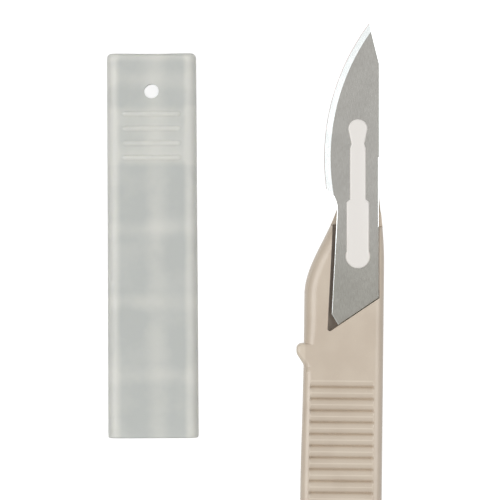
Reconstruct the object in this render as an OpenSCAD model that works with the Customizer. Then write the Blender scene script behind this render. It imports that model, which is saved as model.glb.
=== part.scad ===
// Disposable scalpel with its blade cap lying beside it, in millimetres.
// The scalpel lies flat with the blade's recess upwards. X runs across the handle, Y runs
// along it towards the point, and Z is up. Z = 0 is the face that it lies on. Y = 0 is the
// front of the stop lug, where the mouth of the cap comes to rest when it covers the blade.

/* [Handle] */
// Thickness of the handle
handle_t = 4.8; // [4.4:0.1:6.5]
// Length of the handle behind the stop lug
handle_back_len = 100; // [80:1:130]
// Distance from the centre line to the straight back edge
back_half = 7.55; // [6.8:0.05:9]
// Distance from the centre line to the front edge at the stop lug
front_half = 7.55; // [6.8:0.05:9]
// Distance from the centre line to the front edge at the belly of the grip
belly_half = 7.95; // [7:0.05:9.8]
// Distance behind the lug at which the belly is fullest
belly_len = 30; // [24:1:36]
// Distance behind the lug at which the handle starts to taper
taper_from = 44; // [40:1:56]
// Half width of the rounded tail
tail_half = 5.4; // [4:0.1:6.5]
// Radius of the long upper and lower edges
edge_r = 1.6; // [1:0.1:2]

/* [Nose] */
// Distance in front of the lug at which the front edge starts to run in
cheek_from = 9.3; // [7:0.1:11.5]
// Length over which the front edge runs in
cheek_len = 20; // [16:0.5:24]
// Distance in front of the lug at which the back edge starts to run in
back_run_from = 15; // [12:0.5:18]
// Thickness of the nose plate below the tongue
nose_floor_t = 1.3; // [1.1:0.1:1.7]
// Distance in front of the lug at which the full thickness of the handle ends
shoulder_y = 22; // [18:0.1:25]
// Slope of the shoulder down to the nose plate, from level
shoulder_angle = 80; // [60:1:85]
// Width of tongue left around the blade's slot
tongue_margin = 1.4; // [1:0.1:1.8]
// Rise of the underside at the front of the nose
nose_rise = 0.7; // [0.4:0.1:0.9]

/* [Grip] */
// Number of grooves on each face
groove_count = 14; // [8:1:18]
// Distance from groove to groove
groove_pitch = 2.23; // [1.8:0.01:2.7]
// Depth of each groove
groove_depth = 0.42; // [0.3:0.01:0.55]
// Distance behind the lug of the first groove
groove_from = 8.25; // [7:0.05:10]
// Length of each groove across the handle
groove_len = 12; // [10:0.1:12.6]

/* [Stop lug] */
// Reach of the lug beyond the handle's front edge
lug_reach = 1.4; // [1:0.1:2]
// Length of the lug along the handle
lug_len = 4.5; // [3.8:0.1:5.6]
// Length of the lug's outer face
lug_face = 1.4; // [1.2:0.1:2]
// Radius of the lug's front corner
lug_corner_r = 1; // [0.5:0.05:1.1]
// Radius where the outer face turns back to the handle
lug_turn_r = 1.7; // [1:0.1:2.2]
// Radius of the lug's upper and lower edges
lug_edge_r = 0.7; // [0.3:0.05:0.8]

/* [Blade] */
// Thickness of the blade
blade_t = 0.43; // [0.35:0.01:0.55]
// Radius of the cutting edge
edge_curve_r = 42.7; // [38:0.1:60]
// Reach of the cutting edge from the slot's centre line
edge_reach = 6.4; // [5.8:0.1:8]
// Distance in front of the slot's heel at which the edge reaches furthest
edge_peak_y = 18.6; // [16:0.1:21]
// Width of the ground bevel along the cutting edge
bevel_w = 1.2; // [0.9:0.05:1.5]
// Thickness left at the cutting edge
edge_land = 0.02; // [0.01:0.01:0.05]
// Distance from the slot's centre line to the blade's back
blade_back = 4.1; // [3.8:0.05:4.5]
// Amount by which the tang's back is set in from the blade's back
back_step = 0.17; // [0.1:0.01:0.25]
// Distance in front of the slot's heel of that step
back_step_y = 18.8; // [15:0.1:22]
// Distance in front of the slot's heel at which the back is clipped to the point
clip_from = 36.5; // [34:0.1:40]
// Angle of the clipped back from the back
clip_angle = 14; // [11:0.5:18]
// Distance from the slot's centre line to the neck
neck_half = 3.93; // [3.7:0.01:4.2]
// Distance from the slot's centre line to the tang's front corner
heel_half = 4.95; // [4.6:0.05:5.3]
// Distance in front of the slot's heel of the neck
neck_y = 8.3; // [7:0.1:10]
// Radius of the hollow between neck and edge
choil_r = 5.9; // [5:0.1:7]
// Width of the bevel around that hollow
choil_bevel = 0.28; // [0.2:0.01:0.35]
// Distance behind the slot's heel of the tang's end at the back
heel_y = 7.9; // [6.8:0.1:9]
// Slope of the tang's end
heel_angle = 34; // [28:0.5:38]
// Width of the cropped corner of the tang
crop_w = 1.2; // [0.9:0.05:1.5]
// Length of the cropped corner of the tang
crop_l = 2; // [1.5:0.05:2.4]
// Lean of the blade towards its cutting edge
blade_lean = 0.6; // [0:0.1:1]

/* [Locking key] */
// Radius of the key's round heel
key_heel_r = 2.33; // [2.25:0.01:2.6]
// Half width of the key where the slot is wide
key_wide_half = 2.16; // [2:0.01:2.22]
// Half width of the key where the slot is narrow
key_narrow_half = 1.52; // [1.35:0.01:1.6]
// Half width of the key at its waist
key_waist_half = 1.24; // [1.05:0.01:1.32]
// Radius of the key's round front
key_front_r = 1.81; // [1.7:0.01:2]
// Distance in front of the heel at which the wide stretch ends
key_wide_to = 10.6; // [9:0.1:12]
// Distance in front of the heel of the waist
key_waist_y = 21.3; // [20:0.1:21.6]
// Length over which the key narrows to its waist
key_waist_run = 0.9; // [0.6:0.1:1.4]
// Distance in front of the heel of the centre of the round front
key_front_y = 24.2; // [24:0.1:26]
// Radius of the corners at the end of the wide stretch
key_corner_r = 0.45; // [0.3:0.05:0.55]
// Lap of the key's head over the blade
key_lap = 0.12; // [0.08:0.01:0.2]
// Height of the key's head above the blade
key_head_t = 0.34; // [0.28:0.01:0.45]
// Radius of the head's upper rim
key_rim_r = 0.2; // [0.1:0.01:0.24]
// Depth of the key's foot in the tongue
key_foot = 0.9; // [0.6:0.05:1.1]
// Clearance between the key and the blade
key_gap = 0.04; // [0.02:0.01:0.07]

/* [Blade seat] */
// Distance from the handle's upper face down to the blade
seat_drop = 1.5; // [1.2:0.05:1.7]
// Clearance between the blade and the recess on the cutting side
wall_gap = 0.8; // [0.6:0.05:0.95]
// Clearance between the tang's end and the recess
end_gap = 0.24; // [0.16:0.02:0.4]
// Clearance between the tang's back and the recess
back_gap = 0.24; // [0.15:0.01:0.3]
// Width of the deep channel beside the seat
channel_w = 1.9; // [1.6:0.05:2.2]
// Thickness of the handle below that channel
channel_floor_t = 0.6; // [0.5:0.1:1]
// Width of the rim between the recess and the handle's back edge
rim_w = 0.85; // [0.6:0.05:1.2]
// Distance in front of the lug of the slot's heel
slot_heel_y = 16.65; // [15:0.05:18]
// Corner radius of the recess
recess_r = 0.45; // [0.25:0.05:0.6]

/* [Cap] */
// Wall thickness of the cap
cap_wall = 0.8; // [0.7:0.05:1.1]
// Clearance around the handle inside the cap
cap_gap = 0.2; // [0.1:0.05:0.4]
// Free length inside the cap beyond the point of the blade
cap_spare = 10.9; // [9:0.1:14]
// Thickness of the cap's closed end
cap_end_t = 1; // [0.8:0.05:1.3]
// Narrowing of each side of the cap towards the closed end
cap_draft = 0.12; // [0:0.01:0.2]
// Radius of the cap's long edges
cap_edge_r = 1.9; // [1.5:0.1:2.2]
// Radius around the cap's closed end
cap_end_r = 0.9; // [0.5:0.1:1.2]
// Radius of the hole through the cap
cap_hole_r = 1.3; // [1.1:0.01:1.65]
// Distance of that hole from the closed end
cap_hole_from_end = 7.2; // [6:0.1:8.5]
// Number of grip bars across the cap
bar_count = 4; // [2:1:6]
// Distance from bar to bar
bar_pitch = 2.76; // [2.3:0.01:3.3]
// Distance of the first bar from the closed end
bar_from_end = 11.5; // [10.5:0.1:14]
// Length of each bar across the cap
bar_len = 11; // [9:0.1:12]
// Width of each bar
bar_w = 1; // [0.6:0.05:1.2]
// Height of each bar
bar_h = 0.3; // [0.2:0.05:0.4]
// Distance between the handle's front edge and the cap lying beside it
cap_apart = 19.8; // [16:0.1:24]
// Distance of the lying cap's mouth behind the stop lug
cap_mouth_back = 18.2; // [14:0.1:22]
// Turn of the lying cap against the handle
cap_turn = 0.9; // [0:0.1:1.5]

/* [Hidden] */
$fn = 64;
cut = 1;                      // overshoot of cutting tools past a face
arc_steps = 14;               // facets of each rounded end of the handle
side_steps = 16;              // stations along each run of the handle's sides
edge_steps = 5;               // facets of a rounded edge
corner_steps = 6;             // facets of a rounded corner
rim_steps = 3;                // steps of the key's rounded rim
skim = 0.02;                  // height taken off the rounded body's two faces

// Blade and seat
blade_top = handle_t - seat_drop;
blade_bottom = blade_top - blade_t;
tang_back = blade_back - back_step;
// Centre of the slot's heel in the handle
blade_at = [back_half - rim_w - back_gap - tang_back, slot_heel_y];
nose_half = key_front_r + tongue_margin;
nose_at = in_handle([0, key_front_y]);
tail_y = tail_half - handle_back_len;
shoulder_run = (handle_t - nose_floor_t) / tan(shoulder_angle);
edge_centre = [edge_curve_r - edge_reach, edge_peak_y];
choil_centre = [-neck_half - choil_r, neck_y];
choil_top = upper_crossing(edge_centre, edge_curve_r, choil_centre, choil_r)[1];
crop_x = crop_w - heel_half;
crop_y = tang_end(crop_x);
clip_len = run_to_circle([blade_back, clip_from], clip_angle, edge_centre, edge_curve_r);
point = [blade_back - clip_len * sin(clip_angle), clip_from + clip_len * cos(clip_angle)];

// Grooves
groove_r = (pow(groove_pitch / 2, 2) + pow(groove_depth, 2)) / (2 * groove_depth);

// Cap
cap_w = front_half + back_half + 2 * (cap_gap + cap_wall);
cap_h = handle_t + 2 * (cap_gap + cap_wall);
cap_len = in_handle(point)[1] + cap_spare + cap_end_t;
cap_at = [-front_half - cap_apart - cap_w / 2, -cap_mouth_back];

// A point of the blade's own frame, placed in the handle
function in_handle(p) = blade_at + [p[0] * cos(blade_lean) - p[1] * sin(blade_lean),
                                    p[0] * sin(blade_lean) + p[1] * cos(blade_lean)];

// Smooth step from 0 to 1
function smooth(t) = let (c = max(0, min(1, t))) c * c * (3 - 2 * c);

// Upper crossing of two circles
function upper_crossing(a, ra, b, rb) =
    let (d = norm(b - a), u = (b - a) / d, along = (d * d + ra * ra - rb * rb) / (2 * d),
         off = sqrt(ra * ra - along * along), side = u[0] < 0 ? -1 : 1)
    a + u * along + side * off * [-u[1], u[0]];

// Length of a line leaning left by an angle, from a point to the far side of a circle
function run_to_circle(p, angle, c, r) =
    let (q = p - c, along = q * [-sin(angle), cos(angle)])
    -along + sqrt(along * along - q * q + r * r);

// Height of the tang's sloping end, or of a line parallel to it, below a place across the blade
function tang_end(x, gap = 0) = -heel_y - gap / cos(heel_angle) - (tang_back - x) * tan(heel_angle);

// Place of the tang's front side, or of a line beside it
function tang_side(y, gap = 0) =
    -heel_half - gap
    + (heel_half - neck_half) * (y - crop_y - crop_l) / (neck_y - crop_y - crop_l);

// Back edge of the handle at a station
function back_x(y) = y < 0
    ? back_half - (back_half - tail_half) * smooth((-y - taper_from) / (-tail_y - taper_from))
    : back_half - (back_half - nose_at[0] - nose_half)
        * smooth((y - back_run_from) / (nose_at[1] - back_run_from));

// Front edge of the handle at a station
function front_x(y) = y < 0
    ? -front_half - (belly_half - front_half) * smooth(-y / belly_len)
        + (belly_half - tail_half) * smooth((-y - taper_from) / (-tail_y - taper_from))
    : -front_half + (front_half + nose_at[0] - nose_half) * smooth((y - cheek_from) / cheek_len);

// Outline of the handle, anticlockwise from the tail
function handle_outline() = concat(
    [for (i = [0 : arc_steps]) let (a = 180 + 180 * i / arc_steps)
        [tail_half * cos(a), tail_y + tail_half * sin(a)]],
    [for (i = [1 : side_steps]) let (y = tail_y * (1 - i / side_steps)) [back_x(y), y]],
    [for (i = [1 : side_steps - 1]) let (y = nose_at[1] * i / side_steps) [back_x(y), y]],
    [for (i = [0 : arc_steps]) let (a = 180 * i / arc_steps)
        nose_at + nose_half * [cos(a), sin(a)]],
    [for (i = [1 : side_steps]) let (y = nose_at[1] * (1 - i / side_steps)) [front_x(y), y]],
    [for (i = [1 : side_steps - 1]) let (y = tail_y * i / side_steps) [front_x(y), y]]
);

// Arc of a radius that rounds the corner p between the points a and b
function corner_arc(a, p, b, r) =
    let (u = (a - p) / norm(a - p), w = (b - p) / norm(b - p), half = acos(u * w) / 2,
         centre = p + (u + w) / norm(u + w) * r / sin(half),
         from = p + u * r / tan(half) - centre, to = p + w * r / tan(half) - centre,
         turn = 180 - 2 * half)
    [for (i = [0 : corner_steps]) let (t = turn * i / corner_steps)
        centre + (from * sin(turn - t) + to * sin(t)) / sin(turn)];

// Closed outline from corners, each given as [x, y, radius]
function rounded(corners) =
    let (count = len(corners), at = [for (c = corners) [c[0], c[1]]])
    [for (i = [0 : count - 1])
        let (before = at[(i + count - 1) % count], after = at[(i + 1) % count])
        each corners[i][2] > 0 ? corner_arc(before, at[i], after, corners[i][2]) : [at[i]]];

// Inward normals of an anticlockwise outline
function inward(p) = [for (i = [0 : len(p) - 1])
    let (t = p[(i + 1) % len(p)] - p[(i + len(p) - 1) % len(p)]) [-t[1], t[0]] / norm(t)];

// Levels [height, inset] of a quarter round, starting at a low face or ending at a high one
function round_below(r, low) = [for (k = [0 : edge_steps]) let (a = 90 * k / edge_steps)
    [low + r - r * cos(a), r - r * sin(a)]];
function round_above(r, high) = [for (k = [0 : edge_steps]) let (a = 90 * k / edge_steps)
    [high - r + r * sin(a), r - r * cos(a)]];

// Levels of a block of the handle's thickness with both edges rounded, over-height by the skim
function rounded_levels(r) =
    concat(round_below(r, -skim), round_above(r, handle_t + skim));

// Solid through a list of rings that all have the same number of points
module loft(rings) {
    count = len(rings[0]);
    last = len(rings) - 1;
    walls = [for (k = [0 : last - 1]) for (i = [0 : count - 1])
        let (j = (i + 1) % count, low = k * count, high = low + count)
        each [[low + i, high + j, low + j], [low + i, high + i, high + j]]];
    lower = [[for (i = [0 : count - 1]) i]];
    upper = [[for (i = [count - 1 : -1 : 0]) last * count + i]];
    polyhedron([for (ring = rings) each ring], concat(walls, lower, upper));
}

// Block of an outline, drawn level by level
module slab(outline, levels) {
    normals = inward(outline);
    loft([for (level = levels) [for (i = [0 : len(outline) - 1])
        let (p = outline[i] + level[1] * normals[i]) [p[0], p[1], level[0]]]]);
}

// Places what is drawn in the blade's own frame
module on_seat() {
    translate([blade_at[0], blade_at[1], 0]) rotate([0, 0, blade_lean]) children();
}

// Profile in the YZ plane, carried across the whole handle
module across(width) {
    translate([-width / 2, 0, 0]) rotate([90, 0, 90]) linear_extrude(width) children();
}

// Stop lug: square to the front, and running out to the rear
module lug() {
    outer = -front_half - lug_reach;
    inner = -front_half + lug_reach + edge_r;
    outline = rounded([
        [outer, 0, lug_corner_r],
        [outer, -lug_face - lug_turn_r / 3, lug_turn_r],
        [-front_half + lug_edge_r, -lug_len - lug_edge_r, 0],
        [inner, -lug_len - lug_edge_r, 0],
        [inner, 0, 0]]);
    slab(outline, rounded_levels(lug_edge_r));
}

// Grooves of one face: cusps between neighbouring round ridges, cut down from Z = 0
module grooves() {
    span = groove_pitch * groove_count;
    rear = -groove_from - groove_pitch * (groove_count - 0.5);
    translate([0, rear, 0])
        across(groove_len)
            difference() {
                translate([0, -groove_depth]) square([span, groove_depth + cut]);
                for (i = [0 : groove_count])
                    translate([i * groove_pitch, -groove_r]) circle(groove_r);
            }
}

// Recess around the tang, open towards the nose
module recess_outline() {
    right = tang_back + back_gap;
    front = key_front_y + nose_half + cut;
    low_x = tang_side(crop_y, wall_gap);
    polygon(rounded([
        [right, tang_end(right, end_gap), 0],
        [right, front, 0],
        [tang_side(front, wall_gap), front, 0],
        [low_x, tang_end(low_x, end_gap), recess_r]]));
}

// Top of the seat: the tongue below the slot, and the pad below the tang
module seat_outline() {
    pad = channel_w - wall_gap;
    translate([0, key_front_y]) circle(nose_half);
    translate([-nose_half, 0]) square([2 * nose_half, key_front_y]);
    polygon([
        [tang_back + back_gap + cut, tang_end(tang_back + back_gap + cut, -pad)],
        [tang_back + back_gap + cut, neck_y],
        [tang_side(neck_y, -pad), neck_y],
        [tang_side(crop_y, -pad), tang_end(tang_side(crop_y, -pad), -pad)]]);
}

// Space in front of the sloping shoulder and above the nose plate
module shoulder_profile() {
    front = nose_at[1] + nose_half + cut;
    polygon([
        [shoulder_y + shoulder_run, nose_floor_t],
        [front, nose_floor_t],
        [front, handle_t + cut],
        [shoulder_y - cut / tan(shoulder_angle), handle_t + cut]]);
}

// Wedge below the nose, which lifts its underside clear of the table
module relief_profile() {
    front = nose_at[1] + nose_half;
    slope = nose_rise / (front - shoulder_y);
    polygon([
        [shoulder_y - cut / slope, -cut],
        [front + cut, -cut],
        [front + cut, nose_rise + cut * slope]]);
}

module handle() {
    color("#cabda9")
        difference() {
            // Rounded body and lug, skimmed to the handle's two flat faces
            intersection() {
                union() {
                    slab(handle_outline(), rounded_levels(edge_r));
                    lug();
                }
                translate([-2 * belly_half, -2 * handle_back_len, 0])
                    cube([4 * belly_half, 4 * handle_back_len, handle_t]);
            }
            // Everything above the underside of the blade
            on_seat() translate([0, 0, blade_bottom]) linear_extrude(handle_t) recess_outline();
            // The deep channel beside the seat, up to the shoulder
            intersection() {
                on_seat() translate([0, 0, channel_floor_t]) linear_extrude(handle_t)
                    difference() {
                        recess_outline();
                        seat_outline();
                    }
                translate([-2 * belly_half, -handle_back_len, 0])
                    cube([4 * belly_half, handle_back_len + shoulder_y + shoulder_run, handle_t]);
            }
            // The nose in front of the shoulder, around the tongue
            difference() {
                across(4 * belly_half) shoulder_profile();
                on_seat() linear_extrude(blade_bottom) seat_outline();
            }
            // Socket for the foot of the key
            on_seat() translate([0, 0, blade_bottom - key_foot])
                linear_extrude(handle_t) key_outline(-key_lap - key_gap);
            across(4 * belly_half) relief_profile();
            translate([0, 0, handle_t]) grooves();
            mirror([0, 0, 1]) grooves();
        }
}

// Outline of the blade
module blade_outline() {
    polygon([
        [tang_back, tang_end(tang_back)],
        [tang_back, neck_y],
        [-neck_half, neck_y],
        [-heel_half, crop_y + crop_l],
        [crop_x, crop_y]]);
    difference() {
        intersection() {
            translate(edge_centre) circle(edge_curve_r, $fn = 200);
            polygon([
                [-edge_reach - cut, neck_y],
                [tang_back, neck_y],
                [tang_back, back_step_y - back_step],
                [blade_back, back_step_y],
                [blade_back, clip_from],
                point,
                [point[0] - edge_reach, point[1] + cut],
                [-edge_reach - cut, clip_from]]);
        }
        translate(choil_centre) circle(choil_r, $fn = 96);
    }
}

// Ring that cuts one face of a bevel, from the full thickness down to the edge
module bevel_ring(full_r, edge_side_r, past) {
    fall = (blade_t - edge_land) / 2 * abs(past) / (abs(edge_side_r - full_r) - abs(past));
    rotate_extrude($fn = 200)
        polygon([
            [full_r, blade_t / 2],
            [edge_side_r, edge_land / 2 - fall],
            [edge_side_r, blade_t],
            [full_r, blade_t]]);
}

// Both faces of the bevel along the edge, and of the narrow one around the hollow
module blade_bevels() {
    past = 0.1;
    reach = 2 * edge_reach + blade_back;
    for (face = [0, 1])
        mirror([0, 0, face]) {
            intersection() {
                translate([edge_centre[0], edge_centre[1], 0])
                    bevel_ring(edge_curve_r - bevel_w, edge_curve_r + past, past);
                translate([-reach / 2, choil_top - past, -blade_t])
                    cube([reach, point[1], 2 * blade_t]);
            }
            intersection() {
                translate([choil_centre[0], choil_centre[1], 0])
                    bevel_ring(choil_r + choil_bevel, choil_r - past, past);
                translate([-reach / 2, neck_y + choil_bevel, -blade_t])
                    cube([reach, choil_top - neck_y - choil_bevel - past, 2 * blade_t]);
            }
        }
}

module blade() {
    color("#a8a7a2")
        on_seat()
            translate([0, 0, blade_bottom + blade_t / 2])
                difference() {
                    translate([0, 0, -blade_t / 2])
                        linear_extrude(blade_t)
                            difference() {
                                blade_outline();
                                key_outline(-key_lap);
                            }
                    blade_bevels();
                }
}

// Right half of the key's outline, from its heel to its front
function key_half(grow = 0) =
    let (heel = key_heel_r + grow, front = key_front_r + grow,
         wide = key_wide_half + grow, narrow = key_narrow_half + grow,
         waist = [key_waist_half + grow, key_waist_y],
         to_heel = acos(wide / heel),
         back = waist - [0, key_front_y],
         to_front = atan2(back[1], back[0]) + acos(front / norm(back)),
         corner = [wide, key_wide_to + grow])
    concat(
        [for (i = [0 : 2 * corner_steps]) let (a = -90 + (90 + to_heel) * i / (2 * corner_steps))
            heel * [cos(a), sin(a)]],
        corner_arc([wide, 0], corner, [narrow, corner[1]], key_corner_r),
        [[narrow, corner[1]], [narrow, key_waist_y - key_waist_run], waist],
        [for (i = [0 : 2 * corner_steps])
            let (a = to_front + (90 - to_front) * i / (2 * corner_steps))
            [front * cos(a), key_front_y + front * sin(a)]]
    );

// Whole outline of the key, and of the slot that it fills, grown by an amount
function key_points(grow = 0) =
    let (half = key_half(grow), count = len(half))
    concat(half, [for (i = [count - 2 : -1 : 1]) [-half[i][0], half[i][1]]]);

module key_outline(grow = 0) {
    polygon(key_points(grow));
}

// Foot in the tongue's socket, and a head whose upper rim is rounded in fine steps
module locking_key() {
    color("#e5e1dc")
        on_seat() {
            translate([0, 0, blade_bottom - key_foot])
                linear_extrude(blade_t + key_foot + key_head_t / 2) key_outline(-key_lap - key_gap);
            for (k = [0 : rim_steps])
                let (a = 90 * k / rim_steps)
                translate([0, 0, blade_top])
                    linear_extrude(key_head_t - key_rim_r * (1 - sin(a)))
                        key_outline(-key_rim_r * (1 - cos(a)));
        }
}

// Rings of a flat sleeve along Y, from [distance, inset] levels, narrowing by the draft
function sleeve(width, height, r, levels) =
    let (section = rounded([
        [width / 2, 0, r], [width / 2, height, r], [-width / 2, height, r], [-width / 2, 0, r]]),
        normals = inward(section))
    [for (level = levels) [for (i = [len(section) - 1 : -1 : 0])
        let (p = section[i] + level[1] * normals[i], draft = cap_draft * level[0] / cap_len)
        [p[0] - sign(p[0]) * draft, level[0], p[1]]]];

// Rounded bar across the cap
module grip_bar() {
    side = bar_len / 2 - bar_w / 2;
    translate([-side, 0, 0]) rotate([0, 90, 0]) cylinder(h = 2 * side, r = bar_w / 2, $fn = 24);
    for (x = [-side, side])
        translate([x, 0, 0]) sphere(bar_w / 2, $fn = 24);
}

module cap() {
    inner_levels = [[-cut, 0], [cap_len - cap_end_t, 0]];
    color("#c8c9c4")
        translate([cap_at[0], cap_at[1], 0])
            rotate([0, 0, cap_turn]) {
                difference() {
                    union() {
                        loft(sleeve(cap_w, cap_h, cap_edge_r,
                                    concat([[0, 0]], round_above(cap_end_r, cap_len))));
                        for (i = [0 : bar_count - 1])
                            translate([0, cap_len - bar_from_end - i * bar_pitch,
                                       cap_h - bar_w / 2 + bar_h])
                                grip_bar();
                    }
                    // Cavity, open at the mouth
                    translate([0, 0, cap_wall])
                        loft(sleeve(cap_w - 2 * cap_wall, cap_h - 2 * cap_wall,
                                    cap_edge_r - cap_wall, inner_levels));
                    translate([0, cap_len - cap_hole_from_end, -cut])
                        cylinder(h = cap_h + 2 * cut, r = cap_hole_r);
                }
            }
}

handle();
blade();
locking_key();
cap();
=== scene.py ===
"""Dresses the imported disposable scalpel: its handle, blade, locking key and cap, and the studio around it.

Lengths are in metres. X runs across the handle, Y along it towards the point, and Z is up.
"""

import math

import bpy
import numpy as np
from bpy.props import FloatProperty, FloatVectorProperty, IntProperty, PointerProperty
from mathutils import Matrix, Vector


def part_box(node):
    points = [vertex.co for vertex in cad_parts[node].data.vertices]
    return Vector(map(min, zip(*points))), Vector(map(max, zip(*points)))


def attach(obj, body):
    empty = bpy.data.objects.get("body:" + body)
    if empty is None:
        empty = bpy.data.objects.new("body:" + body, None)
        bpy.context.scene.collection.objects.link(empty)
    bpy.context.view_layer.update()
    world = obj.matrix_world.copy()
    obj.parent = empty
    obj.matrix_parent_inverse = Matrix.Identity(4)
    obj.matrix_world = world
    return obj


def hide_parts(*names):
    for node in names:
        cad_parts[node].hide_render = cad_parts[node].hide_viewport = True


bl_info = {
    "name": "Disposable scalpel",
    "version": (1, 0, 0),
    "blender": (4, 5, 0),
    "location": "View3D > Sidebar > Scalpel",
    "description": "Builds the looks of a disposable scalpel and its blade cap",
    "category": "Object",
}

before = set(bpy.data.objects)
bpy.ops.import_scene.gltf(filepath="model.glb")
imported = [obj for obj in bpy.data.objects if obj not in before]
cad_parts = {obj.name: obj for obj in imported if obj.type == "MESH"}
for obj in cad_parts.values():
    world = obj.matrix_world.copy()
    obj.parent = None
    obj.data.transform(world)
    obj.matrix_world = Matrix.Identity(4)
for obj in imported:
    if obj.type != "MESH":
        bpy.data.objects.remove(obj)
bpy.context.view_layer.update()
MM = 0.001
PHOTO_WIDTH_PX = 500
PHOTO_SCALE = 0.19 * MM

# A share that stops just short of the whole, and how far the lug stays inside the handle's faces
NEARLY = 0.999
LUG_SKIM = 0.005 * MM

# Steps and rows of the grids
BLOCK_EDGE_STEPS = 10
REAR_ROWS, FORE_ROWS = 70, 60
TAIL_STEPS, NOSE_STEPS = 40, 32
GROOVE_ROWS, GROOVE_END_ROWS = 30, 7
EDGE_STEPS, HOLLOW_STEPS = 120, 40
KEY_HEEL_STEPS, KEY_FRONT_STEPS = 28, 22
SLEEVE_STEPS, SLEEVE_CORNER_STEPS = 60, 12
PLAIN_ROWS, BAR_ROWS, END_ROWS = 40, 110, 12
HOLE_STEPS = 64

# Sockets of a Mix node that mixes colours
MIX_SHARE, MIX_FIRST, MIX_SECOND, MIX_RESULT = 0, 6, 7, 2

# The stretch that most of a noise lies in, a narrower one for the brushing lines, and how far up the blade's
# faces and its ground bevels look
NOISE_SPREAD = (0.3, 0.7)
LINE_SPREAD = (0.35, 0.65)
FACE_UP = (0.992, 0.998)
HONED_UP = (0.9, 0.94)

# Softboxes: name, compass direction and elevation in degrees, and power in watts
SOFTBOXES = (("left_softbox", -88, 54, 5.1), ("right_softbox", 88, 60, 3.2))


def linear(hex_colour):
    """Linear RGBA of an sRGB hex colour."""
    channels = [int(hex_colour[i : i + 2], 16) / 255 for i in (0, 2, 4)]
    return tuple(c / 12.92 if c <= 0.04045 else ((c + 0.055) / 1.055) ** 2.4 for c in channels) + (1.0,)


def size(name, description, millimetres):
    """A length that a user can set, with its default given in millimetres."""
    length = {"unit": "LENGTH", "subtype": "DISTANCE", "precision": 5}
    return FloatProperty(name=name, description=description, default=millimetres * MM, **length)


def count(name, description, number):
    """A whole number that a user can set."""
    return IntProperty(name=name, description=description, default=number, min=1)


def level(name, description, value):
    """A share, a roughness or a strength that a user can set."""
    return FloatProperty(name=name, description=description, default=value, min=0)


def angle(name, description, degrees):
    """An angle that a user can set, with its default given in degrees."""
    return FloatProperty(name=name, description=description, default=math.radians(degrees), subtype="ANGLE")


def colour(name, description, hex_colour):
    """A colour that a user can set, with its default given in sRGB hex."""
    return FloatVectorProperty(
        name=name, description=description, default=linear(hex_colour), size=4, min=0, max=1, subtype="COLOR"
    )


class ScalpelHandleSizes(bpy.types.PropertyGroup):
    """Sizes of the moulded handle."""

    thickness: size(
        "Thickness", "Thickness of the handle", (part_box("handle")[1].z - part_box("handle")[0].z) / MM
    )
    back_len: size("Length behind the lug", "From the stop lug to the tail", -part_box("handle")[0].y / MM)
    back_half: size("Back half width", "From the centre line to the back edge", 7.55)
    front_half: size("Front half width", "From the centre line to the front edge at the lug", 7.55)
    belly_half: size("Belly half width", "From the centre line to the front edge at the belly", 7.95)
    belly_len: size("Belly distance", "How far behind the lug the belly is fullest", 30)
    taper_from: size("Taper start", "How far behind the lug the handle starts to taper", 44)
    tail_half: size("Tail half width", "Half width of the rounded tail", 5.4)
    edge_r: size("Edge radius", "Radius of the long upper and lower edges", 1.6)
    cheek_edge_r: size("Cheek edge radius", "Radius of the upper edge along the cheek", 2.6)
    cheek_from: size("Cheek start", "Where the front edge starts to run in", 9.3)
    cheek_len: size("Cheek length", "Length over which the front edge runs in", 20)
    back_run_from: size("Back run start", "Where the back edge starts to run in", 15)
    nose_floor: size("Nose plate", "Thickness of the nose plate below the tongue", 1.3)
    shoulder_y: size("Shoulder", "Where the full thickness of the handle ends", 22)
    shoulder_slope: angle("Shoulder slope", "Slope of the shoulder from level", 80)
    tongue_margin: size("Tongue margin", "Width of tongue left around the slot", 1.4)
    nose_rise: size("Nose rise", "Rise of the underside at the front of the nose", 0.7)
    groove_count: count("Grooves", "Number of grip grooves on each face", 14)
    groove_pitch: size("Groove pitch", "Distance from groove to groove", 2.23)
    groove_depth: size("Groove depth", "Depth of each groove", 0.75)
    groove_w: size("Groove width", "Half width of each groove at about a third of its depth", 0.3)
    rib_crown: size("Rib crown", "Fall of each rib from its middle to the grooves", 0.14)
    groove_from: size("First groove", "How far behind the lug the first groove lies", 8.25)
    groove_len: size("Groove length", "Length of each groove across the handle", 12.3)
    groove_end: size("Groove end", "Length over which each end of a groove rises to the face", 0.55)
    groove_off: size("Groove offset", "How far the grooves lie towards the front edge", 0.27)
    lug_reach: size("Lug reach", "Reach of the lug beyond the front edge", 1.4)
    lug_len: size("Lug length", "Length of the lug along the handle", 4.5)
    lug_face: size("Lug face", "Length of the lug's outer face", 1.4)
    lug_corner_r: size("Lug corner", "Radius of the lug's front corner", 1.0)
    lug_turn_r: size("Lug turn", "Radius where the lug turns back to the handle", 1.7)
    lug_root_r: size("Lug root", "Radius of the hollow where the lug runs out into the handle", 2.0)
    lug_edge_r: size("Lug edge radius", "Radius of the lug's upper and lower edges", 0.7)
    seat_drop: size("Seat drop", "From the upper face down to the blade", 1.5)
    wall_gap: size("Wall gap", "Clearance between blade and recess on the cutting side", 0.8)
    end_gap: size("End gap", "Clearance between the tang's end and the recess", 0.14)
    back_gap: size("Back gap", "Clearance between the tang's back and the recess", 0.12)
    rim_w: size("Back rim", "Width of the rim between the recess and the back edge", 0.97)
    channel_w: size("Channel", "Width of the deep channel beside the seat", 1.9)
    channel_floor: size("Channel floor", "Thickness of the handle below the channel", 0.6)
    recess_r: size("Recess corner", "Corner radius of the recess", 0.45)
    soft_edge: size("Soft edge", "Radius left on the small edges by the mould", 0.1)


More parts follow.
